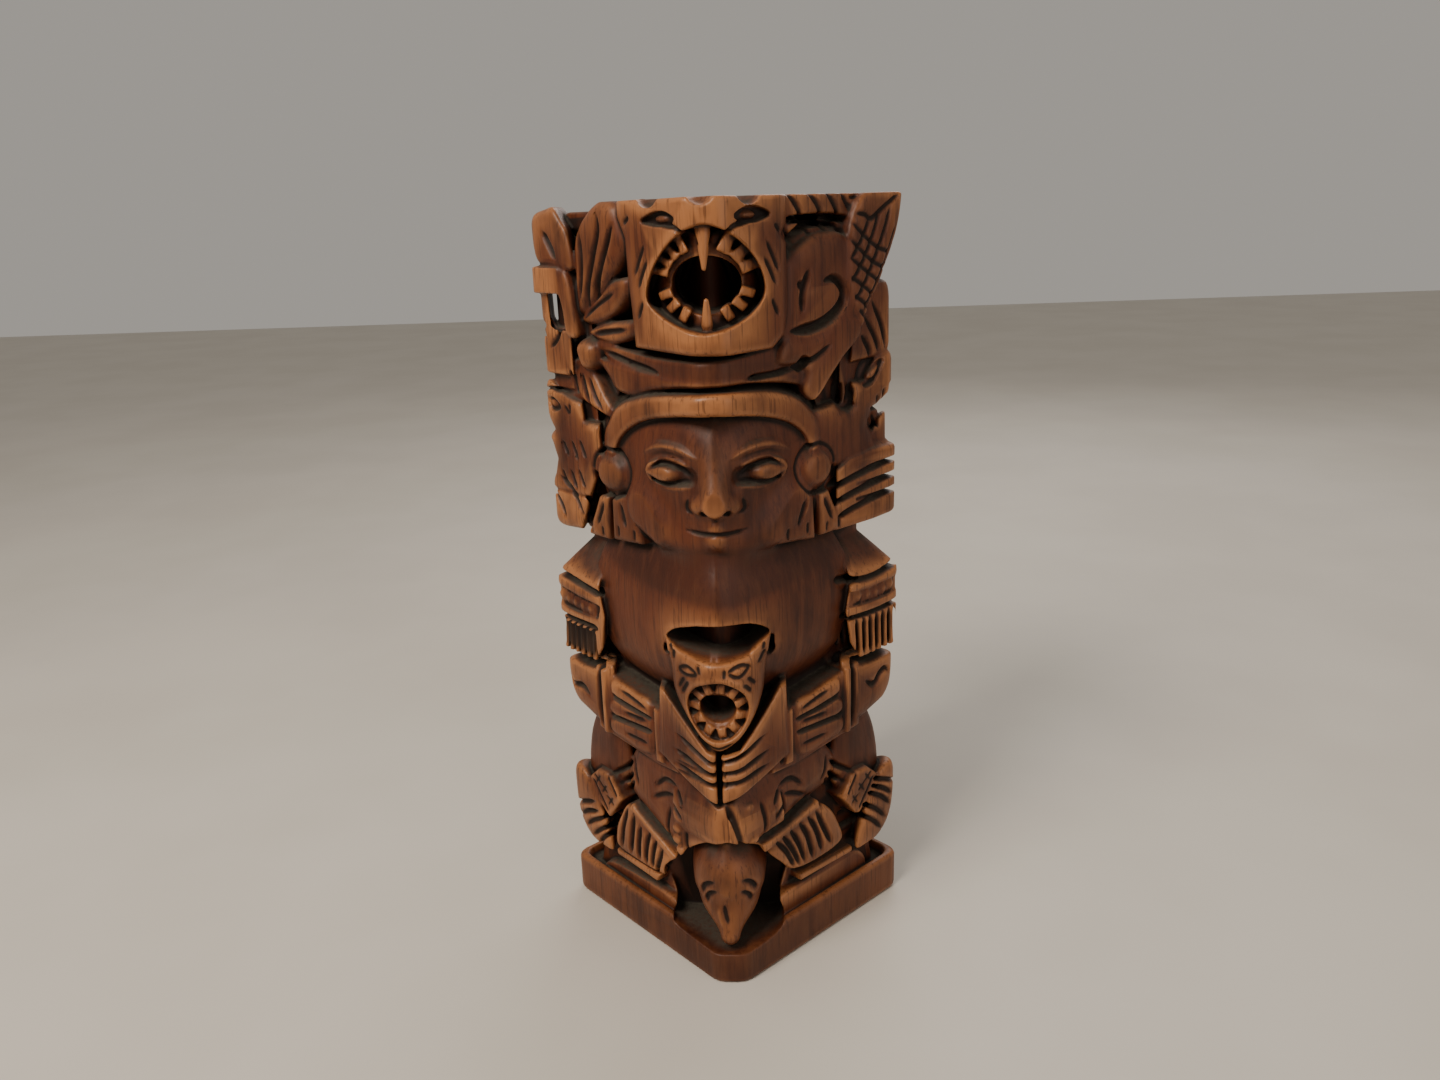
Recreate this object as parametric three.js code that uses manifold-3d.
// Carved wooden totem statue: one block of wood, cut from a square post that stands with an edge forward.
// Millimetres, +Z up, the front edge towards -Y. The origin is at the centre of the underside.
import * as THREE from "three";
import { ConvexGeometry } from "three/addons/geometries/ConvexGeometry.js";
import { mergeVertices } from "three/addons/utils/BufferGeometryUtils.js";
import Module from "manifold-3d";

const wasm = await Module();
wasm.setup();

// Driving dimensions of the block
const HEIGHT = 300;
const SIDE = 104;
const FRONT_FLAT = 12;
const CORNER_ROUND = 5;
const CORE_INSET = 15;
const LEG_CORE_INSET = 20;
const CHEST_CORE_INSET = 22;
const CORE_TOP = 293;

// Levels above the underside
const SLAB_TOP = 18;
const GUTTER_DEEP = 4;
const LEDGE_TOP = 22;
const FOOT_TOP = 36;
const FAN_TOP = 61;
const LEG_TOP = 92;
const FOREARM_LOW = 86;
const ARM_EDGE = 153;
const HEAD_FLOOR = 175;
const BAND_TOP = 236;

const REAR_FEATHERS = 3;
const LEAF_END = 1.4;
const CLOSEST_POINTS = 0.5;
const STRAIGHTEST_TURN = 0.03;
const HALF = SIDE / 2;
const ROOT2 = Math.SQRT2;
const FRONT_REACH = HALF * ROOT2 - FRONT_FLAT / 2;
const REAR_REACH = HALF * ROOT2 - CORNER_ROUND * (ROOT2 - 1);

// The four faces and the view from the front. On a face, u runs from its front (or rear) edge to the side
// corner, z up, and depth is measured inwards. In the front view u is x itself.
const FACES = {
  left: { turn: -Math.PI / 4, sign: -1, shift: HALF, reach: HALF },
  right: { turn: Math.PI / 4, sign: 1, shift: HALF, reach: HALF },
  rearLeft: { turn: (-3 * Math.PI) / 4, sign: 1, shift: HALF, reach: HALF },
  rearRight: { turn: (3 * Math.PI) / 4, sign: -1, shift: HALF, reach: HALF },
  front: { turn: 0, sign: 1, shift: 0, reach: FRONT_REACH },
};

// Solids

function solid(geometry) {
  const bare = geometry.clone();
  bare.deleteAttribute("normal");
  bare.deleteAttribute("uv");
  const merged = mergeVertices(bare, 1e-4);
  const corners = [];
  for (let i = 0; i < merged.index.count; i += 3) {
    const a = merged.index.getX(i);
    const b = merged.index.getX(i + 1);
    const c = merged.index.getX(i + 2);
    if (a !== b && b !== c && c !== a) corners.push(a, b, c);
  }
  const vertProperties = new Float32Array(merged.attributes.position.array);
  const triVerts = new Uint32Array(corners);
  return new wasm.Manifold(new wasm.Mesh({ numProp: 3, vertProperties, triVerts }));
}

function joined(solids) {
  return solids.reduce((whole, next) => whole.add(next));
}

function without(whole, cuts) {
  return cuts.length ? whole.subtract(joined(cuts)) : whole;
}

function placed(geometry, face) {
  geometry.rotateX(Math.PI / 2);
  geometry.rotateZ(FACES[face].turn);
  return solid(geometry);
}

// A point of a face as its own frame sees it: across, up, and out
function facePoint(face, u, z, depth) {
  const { sign, shift, reach } = FACES[face];
  return new THREE.Vector3(sign * (u - shift), z, reach - depth);
}

// Outlines in (u, z)

function rounded(corners, radius, steps = 1) {
  const count = corners.length;
  const points = [];
  corners.forEach(([u, z], i) => {
    const here = new THREE.Vector2(u, z);
    const before = new THREE.Vector2(...corners[(i + count - 1) % count]);
    const after = new THREE.Vector2(...corners[(i + 1) % count]);
    const back = Math.min(radius, here.distanceTo(before) * 0.45);
    const on = Math.min(radius, here.distanceTo(after) * 0.45);
    const start = here.clone().lerp(before, back / here.distanceTo(before));
    const end = here.clone().lerp(after, on / here.distanceTo(after));
    new THREE.QuadraticBezierCurve(start, here, end)
      .getPoints(steps)
      .forEach((p) => points.push([p.x, p.y]));
  });
  return points;
}

function oval([u, z], halfWidth, halfHeight, count = 10) {
  return Array.from({ length: count }, (_, i) => {
    const angle = (2 * Math.PI * i) / count;
    return [u + halfWidth * Math.cos(angle), z + halfHeight * Math.sin(angle)];
  });
}

function smooth(path) {
  return path.length > 2
    ? new THREE.CatmullRomCurve3(path.map(([u, z]) => new THREE.Vector3(u, z, 0)))
    : new THREE.LineCurve3(new THREE.Vector3(...path[0], 0), new THREE.Vector3(...path[1], 0));
}

// Both edges of a strip that follows a path, with its half width as a function of the way along
function strip(path, halfWidth, steps) {
  const curve = smooth(path);
  const near = [];
  const far = [];
  for (let i = 0; i <= steps; i += 1) {
    const t = i / steps;
    const at = curve.getPoint(t);
    const along = curve.getTangent(t);
    const half = halfWidth(t);
    near.push([at.x - along.y * half, at.y + along.x * half]);
    far.unshift([at.x + along.y * half, at.y - along.x * half]);
  }
  return near.concat(far);
}

function band(path, width, steps = 8) {
  return strip(path, () => width / 2, steps);
}

// A leaf with its widest place at the given share of its length, and blunt narrow ends
function leaf(path, width, widest = 0.5, steps = 6) {
  const power = Math.log(0.5) / Math.log(widest);
  return strip(path, (t) => LEAF_END + (width / 2 - LEAF_END) * Math.sin(Math.PI * t ** power), steps);
}

// An outline without points that crowd their neighbour or lie on a straight stretch
function spaced(outline) {
  const apart = outline.filter(([u, z], i) => {
    const [a, b] = outline[(i + outline.length - 1) % outline.length];
    return Math.hypot(u - a, z - b) > CLOSEST_POINTS;
  });
  return apart.filter(([u, z], i) => {
    const [a, b] = apart[(i + apart.length - 1) % apart.length];
    const [c, d] = apart[(i + 1) % apart.length];
    const turn = (u - a) * (d - z) - (z - b) * (c - u);
    return Math.abs(turn) > STRAIGHTEST_TURN * Math.hypot(u - a, z - b) * Math.hypot(c - u, d - z);
  });
}

// Forms

// Raised work on a face, from its outer depth down to its floor, with a bevelled edge where one is given
function relief(face, outline, top, floor, edge = 0) {
  const shape = new THREE.Shape();
  spaced(outline).forEach(([u, z], i) => {
    const at = facePoint(face, u, z, 0);
    if (i === 0) shape.moveTo(at.x, at.y);
    else shape.lineTo(at.x, at.y);
  });
  const geometry = new THREE.ExtrudeGeometry(shape, {
    depth: floor - top - 2 * edge,
    steps: 1,
    bevelEnabled: edge > 0,
    bevelThickness: edge,
    bevelSize: edge,
    bevelOffset: -edge,
    bevelSegments: 1,
  });
  geometry.translate(0, 0, FACES[face].reach - floor + edge);
  return placed(geometry, face);
}

// A V-shaped chisel cut along a path, deepest in the middle and pointed at both ends
function cut(face, path, width, deep, at = 0, steps = 2) {
  const curve = smooth(path);
  const geometry = new THREE.CylinderGeometry(1, 1, 1, 4, steps);
  const place = geometry.attributes.position;
  for (let i = 0; i < place.count; i += 1) {
    const t = place.getY(i) + 0.5;
    const swell = Math.sin(Math.PI * t) ** 0.6 || 0;
    const sideways = (place.getX(i) * swell * width) / 2;
    const centre = curve.getPoint(t);
    const along = curve.getTangent(t);
    const u = centre.x - along.y * sideways;
    const z = centre.y + along.x * sideways;
    const point = facePoint(face, u, z, at - place.getZ(i) * swell * deep);
    place.setXYZ(i, point.x, point.y, point.z);
  }
  const made = placed(geometry, face);
  return made.volume() < 0 ? placedInsideOut(geometry) : made;
}

function placedInsideOut(geometry) {
  const turned = geometry.clone();
  const order = turned.index;
  for (let i = 0; i < order.count; i += 3) {
    const first = order.getX(i);
    order.setX(i, order.getX(i + 1));
    order.setX(i + 1, first);
  }
  return solid(turned);
}

function cuts(face, paths, width, deep, at = 0) {
  return paths.map((path) => cut(face, path, width, deep, at));
}

// Evenly spread straight cuts between two guide lines
function comb(face, from, to, count, width, deep, at = 0) {
  return Array.from({ length: count }, (_, i) => {
    const t = count > 1 ? i / (count - 1) : 0.5;
    const mix = ([[a, b], [c, d]]) => [a + (c - a) * t, b + (d - b) * t];
    return cut(face, [mix(from), mix(to)], width, deep, at);
  });
}

function ellipsoid([x, y, z], [rx, ry, rz], across = 16, up = 8) {
  const geometry = new THREE.SphereGeometry(1, across, up);
  geometry.rotateX(Math.PI / 2);
  geometry.scale(rx, ry, rz);
  geometry.translate(x, y, z);
  return solid(geometry);
}

// A dome whose level sections are round for a power of 2 and come to an edge as it nears 1. A fullness over 2
// keeps it wide towards its top and bottom.
function edgedDome([x, y, z], [rx, ry, rz], power, fullness, across = 16, up = 10) {
  const geometry = new THREE.SphereGeometry(1, across, up);
  geometry.rotateX(Math.PI / 2);
  const place = geometry.attributes.position;
  for (let i = 0; i < place.count; i += 1) {
    const level = Math.hypot(place.getX(i), place.getY(i));
    if (level < 1e-6) continue;
    const cos = Math.abs(place.getX(i)) / level;
    const sin = Math.abs(place.getY(i)) / level;
    const reach = (cos ** power + sin ** power) ** (-1 / power);
    const swell = (level ** fullness + Math.abs(place.getZ(i)) ** fullness) ** (-1 / fullness);
    place.setXYZ(i, place.getX(i) * reach * swell, place.getY(i) * reach * swell, place.getZ(i) * swell);
  }
  geometry.scale(rx, ry, rz);
  geometry.translate(x, y, z);
  return solid(geometry);
}

// The hull of a few points given as across, back and up
function hull(points) {
  return solid(new ConvexGeometry(points.map((p) => new THREE.Vector3(...p))));
}

// The block's own section, seen from above, a distance inside its faces
function sectionOutline(inset) {
  const reach = (HALF - inset) * ROOT2;
  const round = Math.max(CORNER_ROUND - inset, 2);
  const flat = FRONT_FLAT / 2;
  const points = [
    [-flat, -(reach - flat)],
    [flat, -(reach - flat)],
  ];
  for (const turn of [0, Math.PI / 2, Math.PI]) {
    for (const swing of [-1, 0, 1]) {
      const angle = turn + (swing * Math.PI) / 4;
      const centre = reach - round * ROOT2;
      points.push([
        centre * Math.cos(turn) + round * Math.cos(angle),
        centre * Math.sin(turn) + round * Math.sin(angle),
      ]);
    }
  }
  return points;
}

function block(inset, low, high) {
  const shape = new THREE.Shape(sectionOutline(inset).map(([x, y]) => new THREE.Vector2(x, y)));
  const geometry = new THREE.ExtrudeGeometry(shape, { depth: high - low, bevelEnabled: false });
  geometry.translate(0, 0, low);
  return solid(geometry);
}

// A block whose four faces lean in, from one inset at its foot to another at its head
function taperedBlock(lowInset, highInset, low, high) {
  const foot = (HALF - lowInset) * ROOT2;
  const head = (HALF - highInset) * ROOT2;
  const geometry = new THREE.CylinderGeometry(head, foot, high - low, 4, 1);
  geometry.rotateX(Math.PI / 2);
  geometry.translate(0, 0, (low + high) / 2);
  return solid(geometry);
}

// Work that wraps a side corner: an outline in the front view, cut straight through and kept inside the block
function wrapped(outline, inset, back = 75) {
  const through = relief("front", outline, -10, FRONT_REACH + back, 0);
  const zs = outline.map(([, z]) => z);
  return through.intersect(block(inset, Math.min(...zs) - 1, Math.max(...zs) + 1));
}

// Work around the front edge: an outline in the front view, sunk a distance inside the block
function sunk(outline, inset, back) {
  return relief("front", outline, -10, back, 0).intersect(block(inset, 0, HEIGHT));
}

function mirroredX(outline) {
  return outline.map(([x, z]) => [-x, z]);
}

// Base: the slab, its dished top, and the two feet that lean on it
function base() {
  const gutter = taperedBlock(4, 1.2, SLAB_TOP - GUTTER_DEEP, SLAB_TOP + 0.5);
  const slab = block(0, 0, SLAB_TOP).subtract(gutter);
  const lean = taperedBlock(4, 9, LEDGE_TOP, FOOT_TOP).add(block(4, SLAB_TOP - GUTTER_DEEP - 1, LEDGE_TOP));
  const opening = [[-22, 8], [18, 8], [20, 26], [23, 38], [0, 60], [-26, 38], [-23, 24]];
  const niche = relief("front", opening, -10, 40);
  return slab.add(without(lean, [niche]));
}

// The beast's head between the feet: a pointed beak with a ridge down its middle
function beastHead() {
  const beak = hull([
    [0, -66.8, 17.5],
    [0, -67, 30],
    [-9.5, -54, 27],
    [9.5, -54, 27],
    [-15, -26, 38],
    [15, -26, 38],
    [-8, -26, 14],
    [8, -26, 14],
    [0, -62, 14],
  ]);
  const skull = ellipsoid([-0.5, -43, 42], [16, 23.6, 19.5], 14, 8).add(beak);
  const brow = [-1, 1].flatMap((side) =>
    [0, 1].map((row) =>
      cut(
        "front",
        [
          [side * (5 + 3 * row), 41 - row],
          [side * (8.5 + 2.5 * row), 36 - row],
          [side * (9 + 2.5 * row), 31 - row],
        ],
        1.8,
        3,
        9 + 2.5 * row,
      ),
    ),
  );
  return without(skull, brow);
}

// One crossed leg: shin and knee, its strap, the lobed cuff over the foot, and the beaded band
function leg(face) {
  const knee = relief(
    face,
    rounded([[4, 60], [3.5, 80], [16, 87], [50, LEG_TOP], [66, 76], [66, 60], [26, 41]], 5),
    3.5,
    34,
    2,
  );
  const cuff = relief(
    face,
    rounded([[24, 35], [23, 44], [56, 66], [66, 64], [74, 52], [73, 33]], 4),
    0.5,
    26,
  );
  const sill = relief(face, [[26, 28], [23, 34], [76, 33], [76, 28]], 2.5, 26);
  const strapLines = cuts(face, [[[16, 43], [60, 70]], [[15, 48], [55, 73]]], 1.8, 2.2, 2.5);
  const lobes = comb(face, [[66, 62], [31, 46]], [[69, 36], [30, 36]], 6, 2, 3, 0.5);
  const bandLines = cuts(
    face,
    [
      [[13, 51], [19, 64], [17, 79]],
      [[19, 51], [25, 64], [24, 79]],
    ],
    1.6,
    2.4,
    4,
  );
  return without(joined([knee, cuff, sill]), [...strapLines, ...lobes, ...bandLines]);
}

// The feathered fan that wraps a side corner, with the banded strap in front of it and the hip above
function fan(side) {
  const outline = [[-54, 29], [-65, 30], [-71, 40], [-74, 50], [-75, FAN_TOP], [-64, FAN_TOP + 2], [-59, 50]];
  const hip = [[-46, 97], [-57, 91], [-66, 76], [-69, 58], [-48, 50]];
  const turned = side < 0 ? (shape) => shape : mirroredX;
  const faces = side < 0 ? ["left", "rearLeft"] : ["right", "rearRight"];
  const backing = [[-28, 21], [-66, 21], [-66, 66], [-28, 66]];
  const forms = [wrapped(turned(outline), 0), wrapped(turned(hip), 7), wrapped(turned(backing), 12)];
  const grooves = [];
  for (const face of faces) {
    forms.push(relief(face, [[58, 66], [64, 80], [84, 66], [90, 46], [84, 34], [74, 40]], 3, 22));
    grooves.push(...comb(face, [[88, 57], [78, 34]], [[102, 55], [88, 30]], 5, 2, 3));
  }
  grooves.push(...comb(faces[0], [[64, 66], [74, 48]], [[72, 75], [84, 56]], 4, 1.8, 2.4, 3));
  return without(joined(forms), grooves);
}

// An arm from shoulder to wrist: leaning shoulder, banded and fringed sleeve, elbow, bracelets and cuff
function arm(side) {
  const turned = side < 0 ? (shape) => shape : mirroredX;
  const faces = side < 0 ? ["left", "rearLeft"] : ["right", "rearRight"];
  const sleeve = [[-80, 117], [-52, 119], [-49, 130], [-46, 152], [-44, 178], [-80, 178]];
  const shoulder = taperedBlock(-3, 16, ARM_EDGE - 4, HEAD_FLOOR + 3);
  const trunk = block(0, 100, ARM_EDGE).add(shoulder.intersect(block(0, 140, HEAD_FLOOR + 2)));
  const upper = relief("front", turned(sleeve), -10, FRONT_REACH + 75, 0).intersect(trunk);
  const joint = [[-50, 121], [-80, 121], [-80, 106], [-72, 99], [-67, 93.5], [-58, 89], [-50, FOREARM_LOW]];
  const elbow = wrapped(turned(joint), 1.4);
  const front = faces[0];
  const forearm = relief(
    front,
    [[80, 117], [44, 111], [30, 111], [30, 85], [44, 84], [80, FOREARM_LOW + 1]],
    1.8,
    24,
  );
  const cuff = relief(front, [[72, 115], [43, 111], [44, 85], [72, 88]], 0.3, 20);
  const bracelet = relief(front, [[79, 117], [74, 117], [74, 87], [79, 87]], 0.6, 20);
  const wrist = relief(front, [[42, 111], [36, 111], [36, 84], [42, 84]], 0.6, 20);
  const grooves = [...comb(front, [[46, 106], [46, 88]], [[71, 110], [71, 92]], 5, 1.8, 2.6, 0.3)];
  grooves.push(cut(front, [[94, 108], [90, 104], [87, 106], [83, 101]], 2.4, 3, 2.2));
  for (const face of faces) {
    grooves.push(...cuts(face, [[[69, 147.5], [102, 147.5]], [[69, 135.5], [102, 135.5]]], 2, 2.4));
  }
  grooves.push(...comb(faces[0], [[76, 134], [101, 134]], [[76, 117], [101, 117]], 6, 2, 2.8));
  grooves.push(...comb(faces[1], [[78, 134], [99, 134]], [[78, 117], [99, 117]], 3, 2, 2.8));
  return without(joined([upper, elbow, forearm, cuff, bracelet, wrist]), grooves);
}

// Chest and belly: one smooth dome over the front edge, with the hollow above the held head
function belly() {
  const dome = edgedDome([-1, -14, 147], [52, 53, 44], 1.18, 2.2).intersect(block(1, 100, 190));
  const hollow = relief(
    "front",
    [[-22, 129], [-20, 138], [-13, 144], [-1, 147], [10, 145], [17, 140], [20, 129]],
    -6,
    20,
    0,
  );
  return dome.subtract(hollow);
}

// The two hands: flat plates that meet over the front edge, with the fingers cut in
function hands() {
  const plates = [
    [[-26, 119], [-23, 119], [-3, 102], [-3, 77], [-27, 91]],
    [[24, 121], [21, 121], [-1.6, 103], [-1.6, 77], [25, 92]],
  ];
  const forms = plates.map((outline) =>
    relief("front", outline, -8, 26, 0).intersect(block(0, 70, 125).subtract(block(14, 60, 130))),
  );
  const grooves = ["left", "right"].flatMap((face) =>
    comb(face, [[10, 96], [10, 84]], [[34, 109], [34, 97]], 3, 2, 2.8),
  );
  return [without(forms[0], grooves), without(forms[1], grooves)];
}

// Blocky teeth set round an oval ring, between two angles
function teethRing([x, z], ring, count, [across, tall], inset, from = 0, to = 2 * Math.PI) {
  return Array.from({ length: count }, (_, i) => {
    const angle = from + ((i + 0.5) * (to - from)) / count;
    const out = [Math.cos(angle), Math.sin(angle)];
    const middle = [x + ring[0] * out[0], z + ring[1] * out[1]];
    const corner = (side, end) => [
      middle[0] - (side * across * out[1]) / 2 + (end * tall * out[0]) / 2,
      middle[1] + (side * across * out[0]) / 2 + (end * tall * out[1]) / 2,
    ];
    return sunk([corner(-1, -1), corner(-1, 1), corner(1, 1), corner(1, -1)], inset, 24);
  });
}

// A wild cat's mask, with a round open mouth and a ring of teeth
function heldHead() {
  const centre = [-1.5, 120];
  const outline = [
    [-2, 101], [-13, 110], [-19, 124], [-20, 139], [-13, 137], [10, 137.5], [18, 141], [16, 124], [10, 110],
  ];
  const mask = relief("front", rounded(outline, 4), -8, 30).intersect(block(0.5, 95, 145));
  const mouth = relief("front", oval(centre, 12.5, 11.5), -8, 18, 0);
  const throat = relief("front", oval(centre, 7, 5), -8, 19);
  const gums = sunk(oval(centre, 13.5, 12.5), 4.5, 22).subtract(throat);
  const teeth = teethRing(centre, [9.2, 8.2], 8, [4.2, 4], 2.6);
  return joined([without(mask, [mouth]), gums, ...teeth]);
}

// The head between the ear spools: a smooth face of calm, regular proportions
function face() {
  const middle = 203;
  const skull = edgedDome([0, -14, middle], [47, 49.5, 35], 1.38, 2.7).intersect(block(2, 170, 238));
  const brow = -58;
  const nose = hull([
    [-2.6, brow, middle + 8],
    [2.6, brow, middle + 8],
    [-1.8, brow - 5.5, middle + 5],
    [1.8, brow - 5.5, middle + 5],
    [-2.4, brow - 10.5, middle - 8],
    [2.4, brow - 10.5, middle - 8],
    [-8.5, brow - 2, middle - 10],
    [8.5, brow - 2, middle - 10],
    [-6, brow - 6.5, middle - 10.5],
    [6, brow - 6.5, middle - 10.5],
    [0, brow, middle - 12],
    [0, brow - 9, middle - 11.5],
  ]);
  const lips = [1, -1].map((lip) => ellipsoid([0, -55, middle - 16.5 + lip * 1.5], [11, 8.5, 2.4], 10, 5));
  const sockets = [-1, 1].map((side) => ellipsoid([side * 17, -60, middle + 4.5], [12, 9, 6], 10, 6));
  const eyes = [-1, 1].map((side) => ellipsoid([side * 16.5, -45, middle + 3.5], [9.5, 8, 3.8], 10, 6));
  return joined([without(skull, sockets), nose, ...lips, ...eyes]);
}

// The plain band that arches over the forehead and down to the spools
function headband() {
  const outer = [[-44, 208], [-43, 217], [-38.5, 226], [-30, 231.5], [-20, 234], [0, BAND_TOP], [16, 235]];
  const upper = outer.concat([[26, 232], [33, 227], [38, 219], [39, 208]]);
  const lower = [[33.5, 208], [31, 216], [24, 222.5], [14, 226.5], [0, 228.5], [-16, 226.5], [-28, 223]];
  const outline = upper.concat(lower, [[-35, 217], [-38.5, 208]]);
  return relief("front", outline, -8, 40, 0).intersect(block(0.8, 200, 240));
}

// Ear spools and the split tassels that hang from them
function earOrnaments(face, spoolAt, tassels) {
  const forms = [relief(face, oval(spoolAt, 10, 8.6, 12), -0.5, 18, 1.6)];
  const grooves = [];
  for (const [topIn, topOut, lowOut, lowIn] of tassels) {
    forms.push(relief(face, [topIn, topOut, lowOut, lowIn], 0.4, 20));
    const top = [(topIn[0] + topOut[0]) / 2, topIn[1] - 1];
    const low = [(lowIn[0] + lowOut[0]) / 2, lowIn[1] + 6];
    grooves.push(cut(face, [top, low], 1.8, 2.4, 0.4));
  }
  return without(joined(forms), grooves);
}

// The cat on the left corner, looking outwards, with its jaws apart
function leftCat() {
  const outline = [
    [-56, 174], [-50, 190], [-43, 206], [-43, 220], [-53, 222], [-54, 226], [-58, 232], [-61, 230],
    [-65, 235], [-78, 239], [-78, 220], [-73.5, 216], [-76, 210.5], [-67, 209], [-65, 202], [-67, 196],
    [-78, 193], [-78, 179], [-74, 173],
  ];
  const body = wrapped(outline, 0.8);
  const grooves = [];
  for (const front of ["left", "rearLeft"]) {
    grooves.push(cut(front, [[89, 226], [98, 227]], 4, 3, 0.8));
    grooves.push(cut(front, [[76, 226], [84, 222], [90, 216]], 3, 3, 0.8));
    grooves.push(...comb(front, [[80, 213], [72, 196]], [[83, 206], [75, 189]], 2, 1.8, 2, 0.8));
    grooves.push(...comb(front, [[91, 205], [84, 186]], [[94, 198], [87, 179]], 2, 1.8, 2, 0.8));
  }
  return without(body, grooves);
}

// The cat on the right corner, with its snout raised, over a fan of four bands
function rightCat() {
  const head = [
    [36, 202], [36, 228], [44, 229], [46, 233], [51, 233], [56, 236], [64, 242], [70, 246], [78, 246],
    [78, 220], [66, 218], [60, 221], [56, 213], [61, 206], [72, 206], [78, 203], [78, 201],
  ];
  const jaw = [[56, 200], [58, 207], [68, 213], [78, 214], [78, 200]];
  const bands = [[46, 174], [45, 198], [78, 204], [78, 177]];
  const forms = [wrapped(head, 2.2), wrapped(jaw, 1.5), wrapped(bands, 0.8)];
  const grooves = [];
  for (const front of ["right", "rearRight"]) {
    grooves.push(cut(front, [[82, 230], [92, 238]], 3.6, 3, 2.2));
    const low = [[66, 182], [84, 184], [104, 187]];
    for (let row = 0; row < 3; row += 1) {
      grooves.push(cut(front, low.map(([u, z]) => [u - 1, z + 5.6 * row]), 1.8, 2.6, 0.8));
    }
  }
  return without(joined(forms), grooves);
}

// The square plaque on the front of the headdress: a cat's face with a wide open mouth
function plaque() {
  const outline = [
    [-32, 300], [-32, 292], [-29.5, 288], [-30.5, 284], [-27, 249], [22, 248], [27, 254], [27, 284],
    [25, 287], [27, 291], [27, 300],
  ];
  const centre = [-0.5, 273.5];
  const face = relief("front", rounded(outline, 2), -8, 44).intersect(block(0, 240, HEIGHT));
  const mouth = relief("front", oval(centre, 19.5, 17, 18), -8, 24, 0);
  const throat = relief("front", oval([0, 272], 12, 9.5), -8, 26, 0);
  const gums = sunk(oval(centre, 21, 18.5, 8), 7, 40).subtract(throat);
  const upper = teethRing(centre, [15.4, 13.4], 7, [4.8, 5.4], 3.2, 0.1, Math.PI - 0.1);
  const lower = teethRing(centre, [15.2, 13.2], 6, [4.2, 5], 4.2, Math.PI + 0.3, 2 * Math.PI - 0.3);
  const fang = (root, tip) => {
    const base = [-3, 2.4].flatMap((x) => [-64.5, -54].map((y) => [x, y, root]));
    return hull([...base, [-0.4, -63.5, tip], [-0.4, -59.5, tip]]);
  };
  const fangs = [fang(292, 276), fang(256, 267)];
  const grooves = [
    cut("right", [[16, 294], [23, 295.5], [30, 293]], 5, 3),
    cut("left", [[16, 293], [23, 295], [30, 292.5]], 4, 2),
    ...cuts("left", [[[37, 281], [35, 264]], [[33, 287], [31, 270]]], 1.8, 2),
    ...cuts("right", [[[30, 289], [34, 274]], [[30, 266], [33, 258]]], 1.8, 2),
  ];
  const scallops = [-19, -1, 14].map((x) => {
    const edge = [x, Math.abs(x) - 73.5, HEIGHT + 0.5];
    return ellipsoid(edge, [4.5, 5, 3.2], 10, 6);
  });
  const whole = joined([without(face, [mouth]), without(gums, [throat]), ...upper, ...lower, ...fangs]);
  return without(whole, [...grooves, ...scallops]);
}

// The folded ribbon that runs under the plaque, from the flower on the left to its tail on the right
function ribbon() {
  const sweep = [
    [-44, 243], [-40, 236], [-33, 232], [-20, 233], [0, 236], [20, 236], [34, 238], [45, 243], [55, 251],
  ];
  const top = [[44, 258], [30, 250], [10, 247], [-15, 246], [-30, 247]];
  const under = relief("front", sweep.concat(top), -8, 40, 0).intersect(block(3.5, 220, 262));
  const tail = relief(
    "right",
    rounded([[44, 243], [53, 228], [60, 233], [80, 250], [78, 258], [62, 258]], 2),
    1.5,
    22,
    1,
  );
  const grooves = [
    cut("right", [[44, 243], [54, 245], [66, 251]], 2, 2.6, 2),
    cut("left", [[60, 247], [44, 241], [28, 240]], 2, 2.6, 3.5),
    cut("right", [[12, 239.5], [30, 240.5], [43, 243]], 2, 2.6, 3.5),
  ];
  return without(joined([under, tail]), grooves);
}

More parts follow.
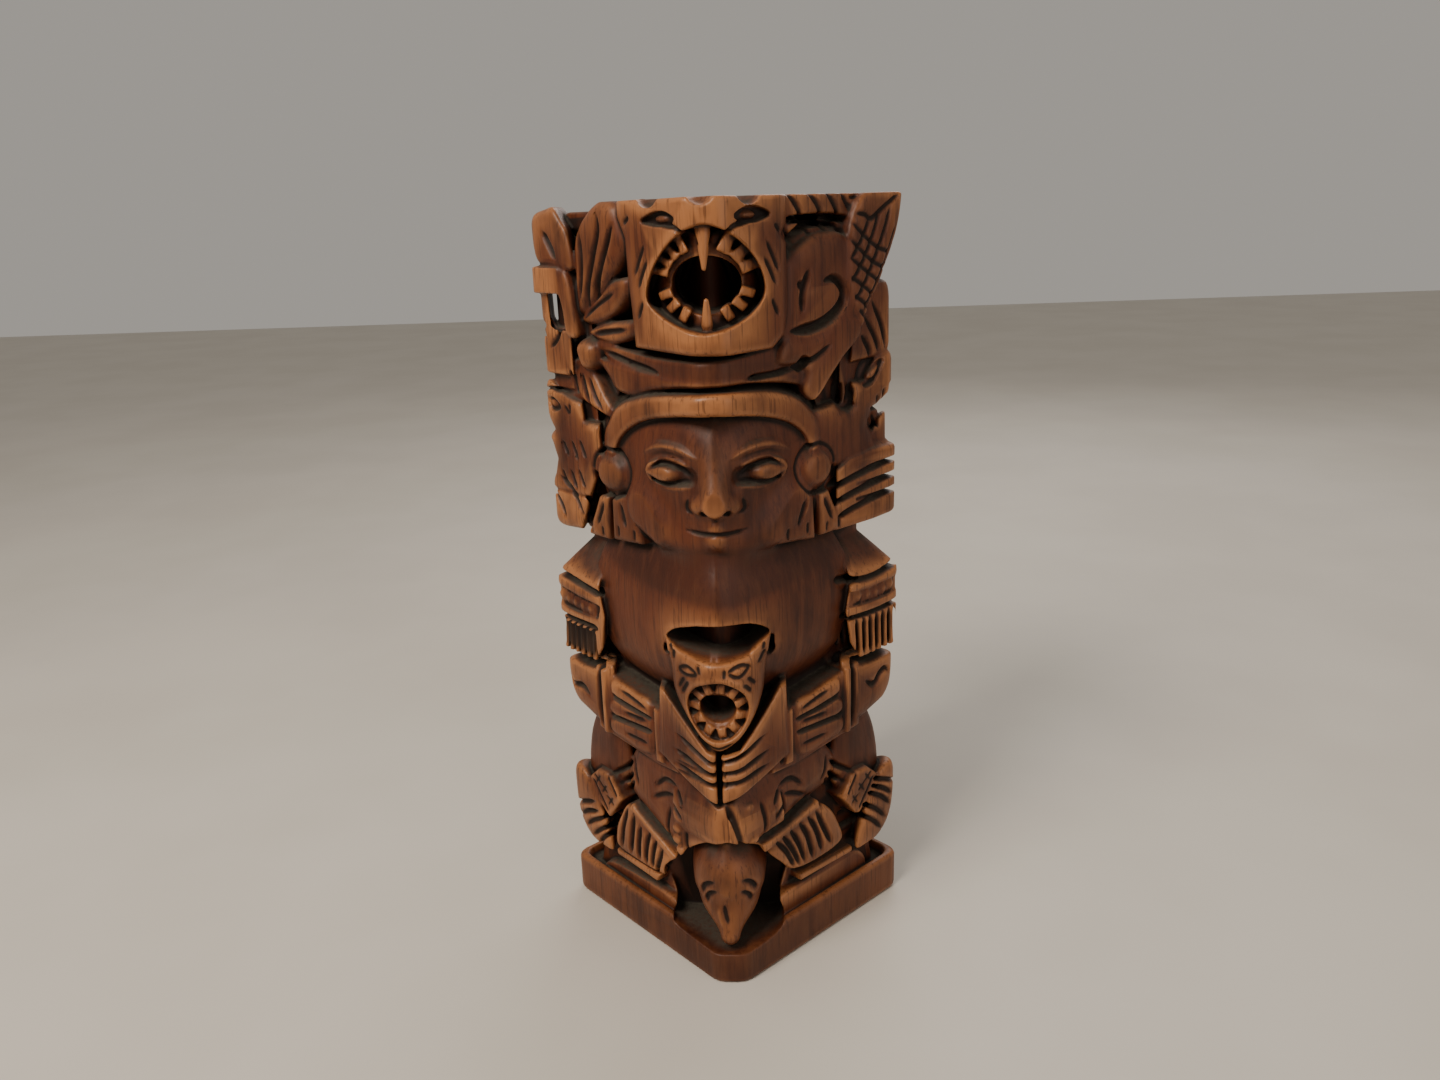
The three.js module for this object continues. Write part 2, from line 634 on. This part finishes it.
// Left of the plaque: the flower with its tall feather and petals, the curled stem and the corner petal
function leftCrown() {
  const cornerPetal = wrapped(
    [
      [-47, 293], [-50, 299], [-56, 301], [-64, 300], [-78, 294], [-71.5, 290], [-69, 279], [-62, 280],
      [-54, 287],
    ],
    0.8,
  );
  const profile = wrapped(
    [
      [-54, 238], [-54, 254], [-63, 256], [-66, 262], [-67, 270], [-78, 270], [-78, 257], [-69, 252],
      [-78, 247], [-70, 243], [-66, 238],
    ],
    2.5,
  );
  const forms = [cornerPetal, profile];
  forms.push(relief("left", leaf([[72, 258], [64, 282], [55, 306]], 27, 0.62, 6), 3, 22));
  forms.push(relief("left", leaf([[74, 255], [58, 264], [42, 274]], 11, 0.5, 4), 3.5, 22));
  forms.push(relief("left", leaf([[68, 252], [54, 257], [39, 259]], 10, 0.45, 4), 3.5, 22));
  const stem = [[104, 271.5], [95, 275], [86, 274.5], [81, 268], [79, 260], [77, 250]];
  forms.push(relief("left", band(stem, 7, 6), 0.3, 20));
  forms.push(relief("left", oval([72, 245], 7, 7), 1, 20, 1.5));
  for (const [tip, wide] of [[[56, 224], 8], [[63, 221], 8], [[70, 222], 7]]) {
    forms.push(relief("left", leaf([[73, 244], [(73 + tip[0]) / 2 + 1, 234], tip], wide, 0.5, 3), 4, 22));
  }
  const barbs = [
    [[71, 264], [66, 280], [62, 298]],
    [[68, 264], [60, 280], [53, 298]],
    [[67, 268], [56, 276], [49, 288]],
  ];
  const grooves = [
    ...cuts("left", barbs, 2, 3, 3),
    ...cuts("left", [[[70, 258], [48, 270]], [[62, 254], [44, 258]]], 1.8, 2.4, 3.5),
    cut("left", [[90, 292], [84, 281]], 2.6, 3, 0.8),
  ];
  return without(joined(forms), grooves);
}

// Right of the plaque: two rows of feathers, the curled volute, the scaled tail and the shell on the corner
function rightCrown() {
  const rows = wrapped([[22, 286], [22, HEIGHT], [60, HEIGHT], [60, 286]], 4.5);
  const lowerRow = wrapped([[22, 279], [22, 290], [60, 290], [60, 279]], 6.5);
  const volute = relief(
    "right",
    rounded([[36, 250], [38, 277], [48, 286], [70, 286], [79, 270], [80, 250], [60, 240], [44, 243]], 5),
    2.5,
    22,
    1.5,
  );
  const tail = relief(
    "right",
    rounded(
      [[78, 292], [84, 301], [106, 301], [106, 290], [94, 272], [88, 262], [80, 252], [71, 269], [78, 284]],
      1.5,
    ),
    0.8,
    20,
    1,
  );
  const rearTail = wrapped([[56, 286], [60, HEIGHT], [78, HEIGHT], [70, 288], [64, 272], [60, 272]], 1.2);
  const shell = wrapped([[52, 238], [54, 262], [62, 268], [70, 268], [72, 258], [73, 238]], 2.5);
  const grooves = [
    ...comb("right", [[45, 289], [75, 289]], [[50, 304], [80, 304]], 5, 1.8, 2.4, 4.5),
    cut("right", [[39, 282], [48, 289], [60, 290], [74, 288]], 2.2, 4, 4.5),
    cut("right", [[46, 275], [47, 268], [46, 262]], 3.4, 3, 2.5),
    cut("right", [[58, 271], [66, 273], [70, 264], [64, 255], [54, 252]], 3.6, 4, 2.5),
    ...comb("right", [[78, 288], [76, 264]], [[98, 284], [84, 256]], 4, 1.6, 2, 0.8),
    ...cuts("right", [[[85, 306], [81, 256]], [[93, 306], [88, 264]]], 1.6, 2, 0.8),
    ...comb("right", [[82, 243], [94, 243]], [[88, 262], [99, 264]], 3, 1.6, 2.4, 2.5),
  ];
  const forms = [rows, lowerRow, volute, tail, rearTail, shell];
  return without(joined(forms), grooves);
}

// The rear: long feathers down the back of the headdress, a plain fringed cape, and a plain seat
function rear() {
  const forms = [];
  const grooves = [];
  for (const back of ["rearLeft", "rearRight"]) {
    for (let i = 0; i < REAR_FEATHERS; i += 1) {
      const u = 9 + (i * 54) / REAR_FEATHERS;
      const low = 196 + 3 * i;
      const plume = [[u, low], [u + 8, low + 24], [u + 8, 301], [u - 8, 301], [u - 8, low + 24]];
      forms.push(relief(back, plume, 3, 24));
      grooves.push(cut(back, [[u, low + 12], [u, 294]], 2, 3, 3));
    }
    forms.push(relief(back, [[0, 174], [64, 174], [64, 196], [0, 192]], 1.5, 24));
    forms.push(relief(back, [[3, 100], [60, 104], [58, 150], [48, 178], [3, 178]], 5, 26));
    grooves.push(...comb(back, [[10, 120], [48, 122]], [[10, 99], [48, 103]], 4, 2.4, 3, 5));
    forms.push(relief(back, [[5, 16], [70, 16], [68, 44], [56, 92], [5, 96]], 7, 30));
    grooves.push(cut(back, [[4, 58], [30, 64], [60, 50]], 2.4, 3, 7));
  }
  return without(joined(forms), grooves);
}

// The whole carving
function totem() {
  const core = joined([
    block(LEG_CORE_INSET, 10, LEG_TOP),
    block(CHEST_CORE_INSET, LEG_TOP - 1, HEAD_FLOOR + 4),
    block(CORE_INSET, HEAD_FLOOR + 1, CORE_TOP),
  ]);
  const earTassels = {
    left: [
      [[62, 193], [69, 191], [78, 174], [64, 174]],
      [[49, 194], [61, 193], [62, 175], [43, 176]],
    ],
    right: [
      [[42, 195], [53, 195], [53, 175], [33, 177]],
      [[54, 194], [61, 193], [69, 176], [55, 176]],
    ],
  };
  const forms = [
    core,
    base(),
    beastHead(),
    leg("left"),
    leg("right"),
    fan(-1),
    fan(1),
    belly(),
    arm(-1),
    arm(1),
    ...hands(),
    heldHead(),
    face(),
    headband(),
    earOrnaments("left", [60.5, 201], earTassels.left),
    earOrnaments("right", [54.5, 202], earTassels.right),
    leftCat(),
    rightCat(),
    ribbon(),
    leftCrown(),
    rightCrown(),
    plaque(),
    rear(),
  ];
  return joined(forms).intersect(block(0, 0, HEIGHT));
}

const carved = totem();
const mesh = carved.getMesh();
const geometry = new THREE.BufferGeometry();
geometry.setAttribute("position", new THREE.BufferAttribute(new Float32Array(mesh.vertProperties), 3));
geometry.setIndex(new THREE.BufferAttribute(new Uint32Array(mesh.triVerts), 1));
geometry.computeVertexNormals();

const stainedWood = new THREE.MeshStandardMaterial({ color: "#7a4a2c", roughness: 0.5, metalness: 0 });
const statue = new THREE.Mesh(geometry, stainedWood);
statue.name = "carved_totem";
statue.position.y = (FRONT_REACH - REAR_REACH) / 2;

const part = new THREE.Group();
part.add(statue);

export default part;
